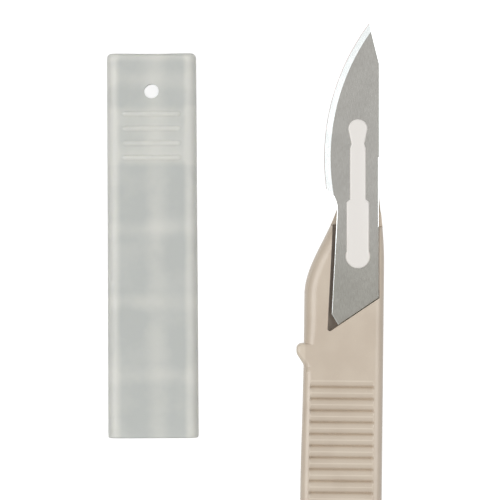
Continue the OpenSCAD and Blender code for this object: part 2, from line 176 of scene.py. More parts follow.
class ScalpelBladeSizes(bpy.types.PropertyGroup):
    """Sizes of the blade and of the key in its slot."""

    thickness: size("Thickness", "Thickness of the blade", 0.43)
    curve_r: size("Edge radius", "Radius of the cutting edge", 42.7)
    edge_reach: size("Edge reach", "Reach of the edge from the slot's centre line", 6.4)
    edge_peak_y: size("Edge peak", "Where the edge reaches furthest", 18.6)
    bevel_w: size("Bevel", "Width of the ground bevel", 1.2)
    land: size("Land", "Thickness left at the cutting edge", 0.02)
    honed_w: size("Honed bevel", "Width of the last narrow bevel", 0.11)
    honed_slope: angle("Honed slope", "Slope of that bevel", 35)
    back: size("Back", "From the slot's centre line to the back", 4.1)
    back_step: size("Back step", "How far the tang's back is set in", 0.17)
    back_step_y: size("Back step place", "Where that step lies", 18.8)
    clip_from: size("Clip start", "Where the back is clipped to the point", 36.5)
    clip_angle: angle("Clip angle", "Angle of the clipped back", 14)
    neck_half: size("Neck", "From the slot's centre line to the neck", 3.93)
    heel_half: size("Heel", "From the slot's centre line to the tang's front corner", 4.95)
    neck_y: size("Neck place", "Where the neck lies", 8.3)
    choil_r: size("Hollow", "Radius of the hollow between neck and edge", 5.9)
    choil_bevel: size("Hollow bevel", "Width of the bevel around the hollow", 0.28)
    heel_y: size("Heel place", "Where the tang ends at the back", 7.9)
    heel_angle: angle("Heel slope", "Slope of the tang's end", 34)
    crop_w: size("Crop width", "Width of the cropped corner", 1.2)
    crop_l: size("Crop length", "Length of the cropped corner", 2)
    lean: angle("Lean", "Lean of the blade towards its edge", 0.6)
    slot_heel_y: size("Slot heel", "How far in front of the lug the slot's heel lies", 16.65)
    edge_break: size("Broken edge", "Width of the roll-over left on the tang's edges by the punch", 0.07)
    edge_drop: size("Edge drop", "Depth of that roll-over", 0.018)
    crop_break: size("Crop edge", "Width of the roll-over on the cropped corner", 0.22)
    key_heel_r: size("Key heel", "Radius of the key's round heel", 2.33)
    key_wide_half: size("Key wide half", "Half width of the key where the slot is wide", 2.16)
    key_narrow_half: size("Key narrow half", "Half width of the key where the slot is narrow", 1.52)
    key_waist_half: size("Key waist half", "Half width of the key at its waist", 1.24)
    key_front_r: size("Key front", "Radius of the key's round front", 1.81)
    key_wide_to: size("Key step", "Where the wide stretch ends", 10.6)
    key_shoulder: size("Key shoulder", "Slant of the shoulders at that step", 0.35)
    key_waist_y: size("Key waist", "Where the waist lies", 21.3)
    key_waist_run: size("Key waist run", "Length over which the key narrows to its waist", 0.9)
    key_front_y: size("Key front place", "Centre of the round front", 24.2)
    key_corner_r: size("Key corner", "Radius of the corners of the wide stretch", 0.45)
    key_lap: size("Key lap", "Lap of the key's head over the blade", 0.12)
    key_head: size("Key head", "Height of the key's head above the blade", 0.34)
    key_rim_r: size("Key rim", "Radius of the head's upper rim", 0.32)
    key_fall: size("Key fall", "Fall of the head at its heel", 0.14)
    key_front_fall: size("Key front fall", "Fall of the head at its front", 0.084)
    key_foot: size("Key foot", "Depth of the key's foot in the tongue", 0.9)
    key_gap: size("Key gap", "Clearance between the key and the blade", 0.04)


class ScalpelCapSizes(bpy.types.PropertyGroup):
    """Sizes of the blade cap."""

    width: size("Width", "Width of the cap at its mouth", 17.1)
    height: size("Height", "Height of the cap", 6.8)
    length: size("Length", "Length of the cap", 72.82)
    wall: size("Wall", "Wall thickness", 0.8)
    end_t: size("End", "Thickness of the closed end", 1.0)
    draft: size("Draft", "Narrowing of each side towards the closed end", 0.12)
    edge_r: size("Edge radius", "Radius of the long edges", 1.9)
    end_r: size("End radius", "Radius around the closed end", 0.9)
    end_sink: size("End sink", "How far the middle of the closed end is drawn in", 0.1)
    mouth_r: size("Mouth radius", "Rounding of the mouth's rim", 0.35)
    hole_r: size("Hole", "Radius of the hole in the upper wall", 1.34)
    hole_draft: size("Hole draft", "How much wider the hole is in the lower wall", 0.25)
    hole_from_end: size("Hole place", "From the closed end to the hole", 7.2)
    bar_count: count("Bars", "Number of grip bars", 4)
    bar_pitch: size("Bar pitch", "Distance from bar to bar", 2.76)
    bar_from_end: size("First bar", "From the closed end to the first bar", 11.5)
    bar_len: size("Bar length", "Length of each bar across the cap", 11)
    bar_w: size("Bar width", "Width of each bar", 1.0)
    bar_h: size("Bar height", "Height of each bar", 0.3)
    band_from: size("First band", "From the mouth to the first stiffer band", 11.8)
    band_pitch: size("Band pitch", "Distance from band to band", 14.0)
    at_x: size("Mouth across", "Middle of the mouth, across the handle", -35.9)
    at_y: size("Mouth along", "Middle of the mouth, along the handle", -18.2)
    turn: angle("Turn", "Turn of the lying cap against the handle", 0.9)


class ScalpelColours(bpy.types.PropertyGroup):
    """Colours of the finishes."""

    handle: colour("Handle", "Moulded handle plastic", "c6b7a5")
    # Paler colour of the painted highlight on the crests of the grip ribs and on the lug
    handle_highlight: colour("Handle high spots", "Paler plastic on the rubbed high spots", "e4d8c6")
    steel: colour("Steel", "Brushed faces of the blade", "9d9b96")
    # Darker grey laid on the faces towards the tang's end, fading out at the neck
    steel_tang: colour("Steel, tang", "Duller faces of the tang", "929089")
    # Near-white bevel colour: partly the ground finish, partly a painted highlight of the lamp's shine
    steel_ground_and_highlight: colour("Steel, bright", "Freshly ground bevels of the blade", "f2f7f7")
    steel_honed: colour("Steel, honed", "Narrow honed bevel of the cutting edge", "b89c96")
    key: colour("Key", "Polished key plastic", "ebe7e2")
    cap: colour("Cap", "Milky plastic of the cap", "d4d7d3")
    # Paler colour for the stiffer bands, and painted light on the sides, the closed end and the bar crests
    cap_pale_and_painted_light: colour("Cap, paler", "Milky plastic where it is thick or seen on edge", "f3f3eb")
    floor: colour("Floor", "Studio floor", "9c9c9c")


class ScalpelFinishes(bpy.types.PropertyGroup):
    """Grain, painted highlights and gloss of the finishes."""

    grain: size("Mould grain", "Grain left on the handle by the spark-eroded mould", 0.2381)
    grain_deep: size("Mould grain depth", "Depth of that grain", 0.02)
    handle_cloud: size("Handle clouds", "Size of the faint clouds in the handle's plastic", 6.25)
    handle_gloss: level("Handle gloss", "Roughness of the grain's smooth spots", 0.2)
    handle_matt: level("Handle matt", "Roughness of the grain's matt spots", 0.3)
    grain_relief: level("Mould grain relief", "Strength of that grain in the light", 0.18)
    handle_cloudy: level("Handle cloudiness", "Paleness of the clouds in the handle's plastic", 0.2)
    # These set where the painted highlight lies: a paler colour on the crests of the grip ribs and on the lug
    highlight_before: size("Worn before", "How far in front of the first groove the wear is full", 0.8474)
    highlight_behind: size("Worn behind", "How far behind the last groove the wear is full", 0.892)
    highlight_deep: size("Worn depth", "How far down from the face the ribs' crests are rubbed", 0.035)
    highlight_front: size("Worn front", "Length over which that wear ends at the front", 0.6)
    highlight_rear: size("Worn rear", "Length over which it ends at the rear", 0.3)
    highlight_lug: level("Worn lug", "Share of wear on the lug", 0.4)
    line_w: size("Brush line width", "Width of the brushing lines on the blade", 0.0769)
    line_len: size("Brush line length", "Length of those lines", 1.111)
    line_deep: size("Brush line depth", "Depth of those lines", 0.004)
    line_relief: level("Brush line relief", "Strength of those lines on the blade's faces", 0.12)
    line_dull: level("Brush line dullness", "Roughness that those lines add", 0.06)
    line_dark: level("Brush line darkness", "Share by which those lines darken the faces", 0.045)
    steel_cloud: size("Steel clouds", "Size of the duller patches of the blade", 4.167)
    cloud_dull: level("Steel cloud dullness", "Roughness that those patches add", 0.03)
    bevel_rough: level("Bevel roughness", "Roughness of the ground bevels", 0.14)
    face_rough: level("Face roughness", "Roughness of the brushed faces", 0.17)
    key_wave: size("Key waves", "Size of the faint waves on the key", 1.429)
    key_relief: level("Key wave relief", "Strength of those waves in the light", 0.1)
    key_wave_deep: size("Key wave depth", "Depth of those waves", 0.01)
    key_rough: level("Key roughness", "Roughness of the polished key", 0.18)
    wax: size("Wax ripples", "Size of the waxy ripples on the cap", 1.111)
    wax_deep: size("Wax ripple depth", "Depth of those ripples", 0.02)
    wax_relief: level("Wax ripple relief", "Strength of those ripples in the light", 0.1)
    cap_cloud: size("Cap clouds", "Size of the clouds in the cap's plastic", 6.667)
    cap_clear: level("Cap clearness", "How much less pale the clear clouds are", 0.14)
    cap_cloudy: level("Cap cloudiness", "How much paler the milky clouds are", 0.18)
    cap_rough: level("Cap roughness", "Roughness of the waxy cap", 0.45)
    # The pale side band is painted light, where the wall is seen on edge
    side_in: size("Pale side, inner", "From the cap's side to where its pale band starts", 2.9)
    side_out: size("Pale side, outer", "From the cap's side to where that band is full", 1.6)
    side_painted_light: level("Pale side", "Paleness of that band", 0.72)
    band_half: size("Stiff band", "Half width of the stiffer bands across the cap", 2.6)
    band_pale: level("Pale stiff band", "Paleness of the stiffer bands", 0.36)
    stripe_x: size("Stripe place", "How far the long stripe lies from the cap's middle", 0.9)
    stripe_half: size("Stripe", "Half width of the long stripe", 3.2)
    stripe_pale: level("Pale stripe", "Paleness of the long stripe", 0.4)
    bars_in: size("Bar patch, inner", "From the middle bar to where the patch around the bars fades", 4.2)
    bars_out: size("Bar patch, outer", "From the middle bar to the end of that patch", 6.2)
    bars_pale: level("Pale bar patch", "Paleness of that patch", 0.45)
    # The paler bar crests are a painted highlight
    raised_low: size("Bar foot", "Height over the face where the bars start to turn paler", 0.05)
    raised_high: size("Bar crest", "Height over the face where the bars are palest", 0.2)
    bar_crest_highlight: level("Pale bars", "Paleness of the bars' crests", 0.35)
    # The paler closed end is painted light, where the wall is seen on edge
    end_painted_light: level("Pale end", "Paleness of the closed end", 0.6)


class ScalpelStudio(bpy.types.PropertyGroup):
    """Camera, lamps and floor."""

    aim_x: size("Aim across", "Point under the camera, across the handle", -17.98)
    aim_y: size("Aim along", "Point under the camera, along the handle", 17.58)
    height: size("Height", "Height of the camera above the object", 620)
    roll: angle("Roll", "Turn of the camera about its view", 0.6)
    room_level: level("Room level", "Light of the room on the object", 0.45)
    lamp_level: level("Lamp level", "Strength of all the lamps", 1.0)
    lamp_distance: size("Lamp distance", "From the aim to each softbox", 1100)
    lamp_side: size("Lamp side", "Side of each softbox", 800)
    floor_half: size("Floor", "Half the side of the floor", 3000)
    floor_drop: size("Floor drop", "How far the floor lies below the object", 0.02)
    paper_glow: level("Paper glow", "White that the paper shows to what looks at it", 0.9)


def columns(*axes):
    """Points from their coordinates along each axis, which are arrays or single numbers."""
    return np.stack(np.broadcast_arrays(*axes), axis=-1)


def joined(*runs):
    """One run of points or numbers from several."""
    return np.concatenate(runs)


def arc(centre, radius, start, end, steps):
    """Points on a circle, centre + radius (cos a, sin a), with a from start to end degrees in even steps."""
    a = np.radians(np.linspace(start, end, steps + 1))
    return np.asarray(centre) + radius * columns(np.cos(a), np.sin(a))


def smooth(t):
    """Smooth step: 3 c^2 - 2 c^3 of t limited to 0 to 1."""
    c = np.clip(t, 0, 1)
    return c * c * (3 - 2 * c)


def corner_arc(before, corner, after, radius, steps=8):
    """Arc that rounds a corner: the circle of that radius that touches both of its sides, run from side to
    side by spherical interpolation of the radius vector."""
    before, corner, after = (np.asarray(p, float) for p in (before, corner, after))
    u = (before - corner) / np.linalg.norm(before - corner)
    w = (after - corner) / np.linalg.norm(after - corner)
    half = math.acos(float(u @ w)) / 2
    centre = corner + (u + w) / np.linalg.norm(u + w) * radius / math.sin(half)
    first = corner + u * radius / math.tan(half) - centre
    last = corner + w * radius / math.tan(half) - centre
    turn = math.pi - 2 * half
    t = np.linspace(0, turn, steps + 1)[:, None]
    return centre + (first * np.sin(turn - t) + last * np.sin(t)) / math.sin(turn)


def rounded(corners):
    """Closed outline through corners (x, y, radius), each with a radius replaced by its arc."""
    at = [np.array(corner[:2], float) for corner in corners]
    runs = []
    for i, corner in enumerate(corners):
        after = at[(i + 1) % len(at)]
        radius = corner[2]
        runs.append(corner_arc(at[i - 1], at[i], after, radius) if radius > 0 else at[i][None])
    return np.concatenate(runs)


def inward(outline):
    """Unit normals that point into an anticlockwise outline: the chord past each point, turned left."""
    t = np.roll(outline, -1, axis=0) - np.roll(outline, 1, axis=0)
    n = columns(-t[:, 1], t[:, 0])
    return n / np.linalg.norm(n, axis=1, keepdims=True)


def quarter_round(radius, steps=8):
    """A quarter round from the wall to the face: how far it lies below the face, radius (1 - sin a), and in
    from the wall, radius (1 - cos a). A radius may be given for each point of an outline."""
    a = np.linspace(0, math.pi / 2, steps + 1).reshape((-1,) + (1,) * np.ndim(radius))
    return radius * (1 - np.sin(a)), radius * (1 - np.cos(a))


def block_rings(outline, under, over, low, high):
    """Rings of a block with quarter rounds on its lower and upper edges, whose radii may differ from point to
    point."""
    under, over = (np.broadcast_to(r, len(outline)) for r in (under, over))
    under_inset, under_rise = quarter_round(under, BLOCK_EDGE_STEPS)
    over_fall, over_inset = quarter_round(over, BLOCK_EDGE_STEPS)
    rise = joined(low + under_rise, high - over_fall)
    inset = joined(under_inset, over_inset)
    flat = outline[None] + inset[..., None] * inward(outline)[None]
    return np.concatenate([flat, rise[..., None]], axis=2)


def slab_rings(outline, levels):
    """Rings of a block: each level (z, inset) moves the outline along its inward normals, at that height."""
    height, inset = np.asarray(levels).T[:, :, None, None]
    flat = outline[None] + inset * inward(outline)[None]
    return np.concatenate([flat, np.broadcast_to(height, flat.shape[:2] + (1,))], axis=2)


def prism_rings(outline, low, high):
    """Rings of a straight prism between two heights."""
    return slab_rings(outline, [(low, 0.0), (high, 0.0)])


def across_rings(profile, half_width):
    """Rings of a profile (y, z) carried along X from side to side."""
    y, z = np.transpose(profile)
    return columns(np.array([[-half_width], [half_width]]), y, z)


def leaned(points, sizes, handle):
    """Points in the blade's own frame, turned by its lean and moved to the slot's heel in the handle."""
    c, s = math.cos(sizes.lean), math.sin(sizes.lean)
    at = heel_place(sizes, handle)
    moved = np.array(points, float)
    moved[..., 0] = at[0] + points[..., 0] * c - points[..., 1] * s
    moved[..., 1] = at[1] + points[..., 0] * s + points[..., 1] * c
    return moved


def heel_place(sizes, handle):
    """Centre of the slot's heel in the handle."""
    tang_back = sizes.back - sizes.back_step
    return np.array([handle.back_half - handle.rim_w - handle.back_gap - tang_back, sizes.slot_heel_y])


def mesh_of_rings(name, rings):
    """Closed mesh through rings (levels, points, 3): quads from ring to ring, and a face on each end."""
    levels, points = rings.shape[:2]
    row = np.arange(levels - 1)[:, None] * points
    low = (row + np.arange(points)).ravel()
    beside = (row + np.roll(np.arange(points), -1)).ravel()
    faces = columns(low, beside, beside + points, low + points).tolist()
    faces.append(list(range(points))[::-1])
    faces.append(list(range((levels - 1) * points, levels * points)))
    mesh = bpy.data.meshes.new(name)
    mesh.from_pydata(rings.reshape(-1, 3).tolist(), [], faces)
    mesh.update()
    return mesh


def add_object(name, data):
    """Puts a mesh, a lamp or a camera into the scene as an object at the origin."""
    obj = bpy.data.objects.new(name, data)
    bpy.context.scene.collection.objects.link(obj)
    return obj


def solid(name, rings):
    """The solid through rings, put into the scene."""
    return add_object(name, mesh_of_rings(name, rings))


def settle(obj):
    """Applies the object's modifiers to its mesh."""
    depsgraph = bpy.context.evaluated_depsgraph_get()
    mesh = bpy.data.meshes.new_from_object(obj.evaluated_get(depsgraph), depsgraph=depsgraph)
    old = obj.data
    obj.modifiers.clear()
    obj.data = mesh
    bpy.data.meshes.remove(old)
    return obj


def combine(obj, tool, operation):
    """Joins or cuts a solid with another one, which is then removed."""
    modifier = obj.modifiers.new("combine", "BOOLEAN")
    modifier.operation = operation
    modifier.solver = "EXACT"
    modifier.object = tool
    bpy.context.view_layer.update()
    settle(obj)
    mesh = tool.data
    bpy.data.objects.remove(tool)
    bpy.data.meshes.remove(mesh)
    return obj


def cut(obj, rings):
    """Cuts the solid through rings out of another one."""
    return combine(obj, solid("tool", rings), "DIFFERENCE")


def finish_edges(obj, radius, limit, segments=2):
    """Shades smooth up to the limiting angle in degrees, and rounds what is sharper by a small radius."""
    mesh = obj.data
    limit = math.radians(limit)
    mesh.shade_smooth()
    mesh.set_sharp_from_angle(angle=limit)
    if radius:
        bevel = obj.modifiers.new("broken edges", "BEVEL")
        bevel.width = radius
        bevel.segments = segments
        bevel.limit_method = "ANGLE"
        bevel.angle_limit = limit
        bevel.harden_normals = True
        bevel.miter_outer = "MITER_ARC"
    return obj


def tang_end(sizes, x, gap=0.0):
    """Height of the tang's sloping end, or of a parallel line below it, at a place across the blade."""
    fall = (sizes.back - sizes.back_step - x) * math.tan(sizes.heel_angle)
    return -sizes.heel_y - gap / math.cos(sizes.heel_angle) - fall


def crop_corner(sizes):
    """Lower corner of the tang, where its crop meets the sloping end."""
    x = sizes.crop_w - sizes.heel_half
    return np.array([x, tang_end(sizes, x)])


def tang_side(sizes, y, gap=0.0):
    """Place of the tang's front side, or of a line beside it: straight from the crop to the neck."""
    low = crop_corner(sizes)[1] + sizes.crop_l
    share = (y - low) / (sizes.neck_y - low)
    return -sizes.heel_half - gap + (sizes.heel_half - sizes.neck_half) * share


def circles_cross(a, ra, b, rb):
    """Upper crossing of two circles: along their line of centres, then up at a right angle to it."""
    d = float(np.linalg.norm(b - a))
    u = (b - a) / d
    along = (d * d + ra * ra - rb * rb) / (2 * d)
    off = math.sqrt(ra * ra - along * along)
    side = -1.0 if u[0] < 0 else 1.0
    return a + u * along + side * off * np.array([-u[1], u[0]])


def clip_meets_circle(start, lean, centre, radius):
    """Where a line leaning left from a point leaves a circle."""
    d = np.array([-math.sin(lean), math.cos(lean)])
    q = start - centre
    along = float(q @ d)
    return start + d * (-along + math.sqrt(along * along - float(q @ q) + radius * radius))


def sides_of_handle(s, nose_at, nose_half):
    """Functions of Y for the handle's two edges: straight, with smooth steps for belly, tail and nose."""
    tail_y = s.tail_half - s.back_len

    def tail_share(y):
        return smooth((-y - s.taper_from) / (-tail_y - s.taper_from))

    def back_x(y):
        behind = s.back_half - (s.back_half - s.tail_half) * tail_share(y)
        run = smooth((y - s.back_run_from) / (nose_at[1] - s.back_run_from))
        return np.where(y < 0, behind, s.back_half - (s.back_half - nose_at[0] - nose_half) * run)

    def front_x(y):
        belly = (s.belly_half - s.front_half) * smooth(-y / s.belly_len)
        behind = -s.front_half - belly + (s.belly_half - s.tail_half) * tail_share(y)
        run = smooth((y - s.cheek_from) / s.cheek_len)
        return np.where(y < 0, behind, -s.front_half + (s.front_half + nose_at[0] - nose_half) * run)

    return back_x, front_x, tail_y


def handle_outline(s, blade):
    """Outline of the handle, anticlockwise from the tail: two round ends and two sides."""
    nose_half = blade.key_front_r + s.tongue_margin
    nose_at = leaned(np.array([0.0, blade.key_front_y]), blade, s)
    back_x, front_x, tail_y = sides_of_handle(s, nose_at, nose_half)
    rear = np.linspace(tail_y, 0, REAR_ROWS)[1:]
    fore = np.linspace(0, nose_at[1], FORE_ROWS)[1:-1]
    up = joined(rear, fore)
    down = joined([nose_at[1] * NEARLY], fore[::-1], [0.0], rear[:-1][::-1])
    return joined(
        arc((0, tail_y), s.tail_half, 180, 360, TAIL_STEPS),
        columns(back_x(up), up),
        arc(nose_at, nose_half, 0, 180, NOSE_STEPS),
        columns(front_x(down), down),
    )


def lug_outline(s):
    """Outline of the stop lug: square to the front, and running out to the rear through a hollow."""
    outer = -s.front_half - s.lug_reach
    inner = -s.front_half + s.lug_reach + s.edge_r
    turn = -s.lug_face - s.lug_turn_r / 3
    slope = (-s.lug_len - s.lug_edge_r - turn) / (s.lug_reach + s.lug_edge_r)
    root = turn + slope * s.lug_reach
    low = root - s.lug_root_r
    return rounded(
        [
            (outer, 0, s.lug_corner_r),
            (outer, turn, s.lug_turn_r),
            (-s.front_half, root, s.lug_root_r),
            (-s.front_half + s.lug_edge_r / 4, low, 0),
            (inner, low, 0),
            (inner, 0, 0),
        ]
    )


def recess_outline(s, blade):
    """Outline of the recess around the tang, open towards the nose."""
    right = blade.back - blade.back_step + s.back_gap
    front = blade.key_front_y + blade.key_front_r + s.tongue_margin + MM
    low_x = tang_side(blade, crop_corner(blade)[1], s.wall_gap)
    outline = rounded(
        [
            (right, tang_end(blade, right, s.end_gap), 0),
            (right, front, 0),
            (tang_side(blade, front, s.wall_gap), front, 0),
            (low_x, tang_end(blade, low_x, s.end_gap), s.recess_r),
        ]
    )
    return leaned(outline, blade, s)


def seat_outline(s, blade):
    """Outline of the seat: the tongue below the slot widening to the pad below the tang."""
    pad = s.channel_w - s.wall_gap
    nose_half = blade.key_front_r + s.tongue_margin
    right = blade.back - blade.back_step + s.back_gap + MM
    left = tang_side(blade, crop_corner(blade)[1], -pad)
    outline = joined(
        [(left, tang_end(blade, left, -pad)), (right, tang_end(blade, right, -pad))],
        [(right, blade.neck_y), (nose_half, blade.neck_y)],
        arc((0, blade.key_front_y), nose_half, 0, 180, NOSE_STEPS),
        [(-nose_half, blade.neck_y), (tang_side(blade, blade.neck_y, -pad), blade.neck_y)],
    )
    return leaned(outline, blade, s)


def groove_rings(s):
    """Rings of the tool for the grooves, above the face at z = 0. With d the distance to the nearest groove,
    z = -crown (1 - 2 d / pitch)^2 - (depth - crown) exp(-d / width), which leaves low crowned ribs between
    narrow grooves, and z rises to the face at both ends. There the tool clears the face by a skim."""
    skim = 0.003 * MM
    rear = -s.groove_from - s.groove_pitch * (s.groove_count - 0.5)
    front = -s.groove_from + s.groove_pitch / 2
    y = np.linspace(rear, front, s.groove_count * GROOVE_ROWS + 1)
    d = np.abs((y - rear) % s.groove_pitch - s.groove_pitch / 2)
    crown = s.rib_crown * (1 - 2 * d / s.groove_pitch) ** 2
    notch = (s.groove_depth - s.rib_crown) * np.exp(-d / s.groove_w)
    reach = s.groove_len / 2
    steps = np.linspace(0, 1, GROOVE_END_ROWS)
    across = joined(-reach + s.groove_end * steps, reach - s.groove_end * steps[::-1])
    share = joined(np.sin(steps * math.pi / 2), np.sin(steps[::-1] * math.pi / 2))[:, None]
    floor = skim * (1 - 2 * share) - share * (crown + notch)
    height = np.pad(floor, ((0, 0), (0, 2)), constant_values=MM)
    return columns((across - s.groove_off)[:, None], joined(y, [front, rear]), height)


def make_handle_mesh(s, blade):
    """The handle: a rounded block and its lug, less the blade's recess, the shoulder, the grooves and the
    nose's relief, with the seat left standing."""
    seat_top = s.thickness - s.seat_drop - blade.thickness
    above = s.thickness + MM
    nose_at = leaned(np.array([0.0, blade.key_front_y]), blade, s)
    nose_y = nose_at[1] + blade.key_front_r + s.tongue_margin
    wide = 4 * s.belly_half

    outline = handle_outline(s, blade)
    cheek = smooth((outline[:, 1] + s.lug_len) / s.cheek_from) * smooth(-outline[:, 0] / s.edge_r)
    over = s.edge_r + (s.cheek_edge_r - s.edge_r) * cheek
    body = solid("scalpel_handle", block_rings(outline, s.edge_r, over, 0.0, s.thickness))
    outline = lug_outline(s)
    lug_r = s.lug_edge_r + (s.edge_r - s.lug_edge_r) * smooth((-outline[:, 1] - s.lug_face) / s.lug_len)
    lug = solid("tool", block_rings(outline, lug_r, lug_r, LUG_SKIM, s.thickness - LUG_SKIM))
    combine(body, lug, "UNION")

    foot_y = s.shoulder_y + (s.thickness - s.nose_floor) / math.tan(s.shoulder_slope)
    shoulder = [
        (foot_y, s.nose_floor),
        (nose_y + MM, s.nose_floor),
        (nose_y + MM, above),
        (s.shoulder_y - MM / math.tan(s.shoulder_slope), above),
    ]
    fore = [(foot_y, -MM), (2 * nose_y, -MM), (2 * nose_y, above + MM), (foot_y, above + MM)]
    cutter = solid("tool", prism_rings(recess_outline(s, blade), s.channel_floor, above))
    cut(cutter, across_rings(fore, wide))
    combine(cutter, solid("tool", across_rings(shoulder, wide)), "UNION")
    cut(cutter, prism_rings(seat_outline(s, blade), -MM, seat_top))
    combine(body, cutter, "DIFFERENCE")

    foot = leaned(key_outline(blade, -blade.key_lap), blade, s)
    cut(body, prism_rings(foot, seat_top - blade.key_foot, s.thickness))

    slope = s.nose_rise / (nose_y - s.shoulder_y)
    front = (nose_y + MM, s.nose_rise + MM * slope)
    cut(body, across_rings([(s.shoulder_y - MM / slope, -MM), (nose_y + MM, -MM), front], wide))

    upper = groove_rings(s)
    cut(body, upper + [0, 0, s.thickness])
    return cut(body, (upper * [1, 1, -1])[::-1])


def around(centre, radius, start, end, steps):
    """Points on an arc from one point's bearing to another's. The radius may differ from point to point."""
    a0 = math.atan2(start[1] - centre[1], start[0] - centre[0])
    a1 = math.atan2(end[1] - centre[1], end[0] - centre[0])
    a1 += 2 * math.pi * round((a0 - a1) / (2 * math.pi))
    a = np.linspace(a0, a1, steps + 1)
    return centre + np.reshape(radius, (-1, 1)) * columns(np.cos(a), np.sin(a))


def set_in(corners, widths):
    """Corners of a line whose sides move in: each new corner q solves (q - p) . n = width for both sides."""
    d = corners[1:] - corners[:-1]
    n = columns(-d[:, 1], d[:, 0]) / np.linalg.norm(d, axis=1, keepdims=True)
    pairs = np.stack([n[:-1], n[1:]], axis=1)
    offsets = columns(widths[:-1], widths[1:])[..., None]
    return corners[1:-1] + np.linalg.solve(pairs, offsets)[..., 0]


def blade_boundaries(b):
    """Outer outline of the blade, the edge of its full thickness inside it, and the half height of the wall
    between them, point for point. The cutting edge and the hollow are arcs with their bevels, and the rest is
    straight with a small roll-over."""
    brk = b.edge_break
    tang_back = b.back - b.back_step
    centre = np.array([b.curve_r - b.edge_reach, b.edge_peak_y])
    hollow = np.array([-b.neck_half - b.choil_r, b.neck_y])
    clip = np.array([b.back, b.clip_from])
    lean_out = np.array([-math.cos(b.clip_angle), -math.sin(b.clip_angle)])
    inner_r = b.curve_r - b.bevel_w

    tip = clip_meets_circle(clip, b.clip_angle, centre, b.curve_r)
    inner_tip = clip_meets_circle(clip + brk * lean_out, b.clip_angle, centre, inner_r)
    top = circles_cross(centre, b.curve_r, hollow, b.choil_r)
    inner_top = circles_cross(centre, inner_r, hollow, b.choil_r + b.choil_bevel)
    neck = np.array([-b.neck_half, b.neck_y])
    share = np.linspace(0, 1, HOLLOW_STEPS + 1)
    hollow_in = np.linalg.norm(inner_top - hollow) * (1 - share) + (b.choil_r + brk) * share

    low = crop_corner(b)
    straight = np.array(
        [
            neck,
            (-b.heel_half, low[1] + b.crop_l),
            low,
            (tang_back, tang_end(b, tang_back)),
            (tang_back, b.back_step_y - b.back_step),
            (b.back, b.back_step_y),
            clip,
            tip,
        ]
    )
    widths = np.array([brk, b.crop_break, brk, brk, brk, brk, brk])
    outer = joined(
        around(centre, b.curve_r, tip, top, EDGE_STEPS),
        around(hollow, b.choil_r, top, neck, HOLLOW_STEPS)[1:],
        straight[1:-1],
        [inner_tip - brk * lean_out],
    )
    inner = joined(
        around(centre, inner_r, inner_tip, inner_top, EDGE_STEPS),
        around(hollow, hollow_in, inner_top, neck, HOLLOW_STEPS)[1:],
        set_in(straight, widths),
        [inner_tip],
    )
    at_edge = b.land / 2
    full = b.thickness / 2 - b.edge_drop
    rising = at_edge + (full - at_edge) * smooth(share[1:])
    return outer, inner, joined(np.full(EDGE_STEPS + 1, at_edge), rising, np.full(len(widths), full))


def make_blade_mesh(b, handle):
    """The blade: a flat plate between its boundaries, with a narrow honed bevel outside the ground one, and
    the keyhole slot cut through it. The honed ring lies in from the edge by its width and up by width
    tan(slope), within set shares of the ground bevel's width and depth. On the plain straight edges, where
    the wall is full, it lies on the roll-over."""
    most_in, most_up = 0.5, 0.9
    outer, inner, wall = blade_boundaries(b)
    middle = handle.thickness - handle.seat_drop - b.thickness / 2
    half = b.thickness / 2
    across = np.linalg.norm(inner - outer, axis=1)
    share = np.clip(b.honed_w / across, 0, most_in)
    honed = outer + (inner - outer) * share[:, None]
    plain = wall + (half - wall) * share
    steep = np.minimum(wall + b.honed_w * math.tan(b.honed_slope), wall + (half - wall) * most_up)
    sharp = 1 - smooth((wall - b.land) / (half / 2))
    rise = plain + np.clip(steep - plain, 0, None) * sharp
    places = np.array([inner, honed, outer, outer, honed, inner])
    flat = np.full(len(outer), half)
    heights = middle + np.array([-flat, -rise, -wall, wall, rise, flat])
    rings = np.concatenate([places, heights[..., None]], axis=2)
    obj = solid("scalpel_blade", leaned(rings, b, handle))
    slot = leaned(key_outline(b, -b.key_lap), b, handle)
    return cut(obj, prism_rings(slot, middle - MM, middle + MM))


def key_outline(b, grow=0.0):
    """Outline of the key, mirrored about Y: round heel, wide and narrow stretch, waist and round front."""
    heel = b.key_heel_r + grow
    front = b.key_front_r + grow
    wide = b.key_wide_half + grow
    narrow = b.key_narrow_half + grow
    waist = np.array([b.key_waist_half + grow, b.key_waist_y])
    back = waist - [0, b.key_front_y]
    to_front = math.degrees(math.atan2(back[1], back[0]) + math.acos(front / float(np.linalg.norm(back))))
    corner = np.array([wide, b.key_wide_to + grow - b.key_shoulder])
    shoulder = np.array([narrow, b.key_wide_to + grow + b.key_shoulder / 2])
    half = joined(
        arc((0, 0), heel, -90, math.degrees(math.acos(wide / heel)), KEY_HEEL_STEPS),
        corner_arc((wide, 0), corner, shoulder, b.key_corner_r),
        [shoulder, (narrow, b.key_waist_y - b.key_waist_run), waist],
        arc((0, b.key_front_y), front, to_front, 90, KEY_FRONT_STEPS),
    )
    return joined(half, half[-2:0:-1] * [-1, 1])


def make_key_mesh(b, handle):
    """The key: a straight foot in the slot below a head with a rounded rim. The head falls a little over its
    heel, from a third of the heel's radius in front of its centre, and over its round front."""
    inset = b.key_lap + b.key_gap
    rim_fall, rim_inset = quarter_round(b.key_rim_r)
    foot = [(-b.thickness - b.key_foot, inset), (0, inset), (0, 0)]
    rings = slab_rings(key_outline(b), joined(foot, columns(b.key_head - rim_fall, rim_inset)))
    y = rings[..., 1]
    ahead = b.key_heel_r / 3
    heel_fall = b.key_fall * smooth((ahead - y) / (ahead + b.key_heel_r))
    front_fall = b.key_front_fall * smooth((y - b.key_front_y) / b.key_front_r)
    above = np.clip(rings[..., 2] / b.key_head, 0, 1)
    rings[..., 2] += handle.thickness - handle.seat_drop - (heel_fall + front_fall) * above
    return solid("locking_key_head", leaned(rings, b, handle))


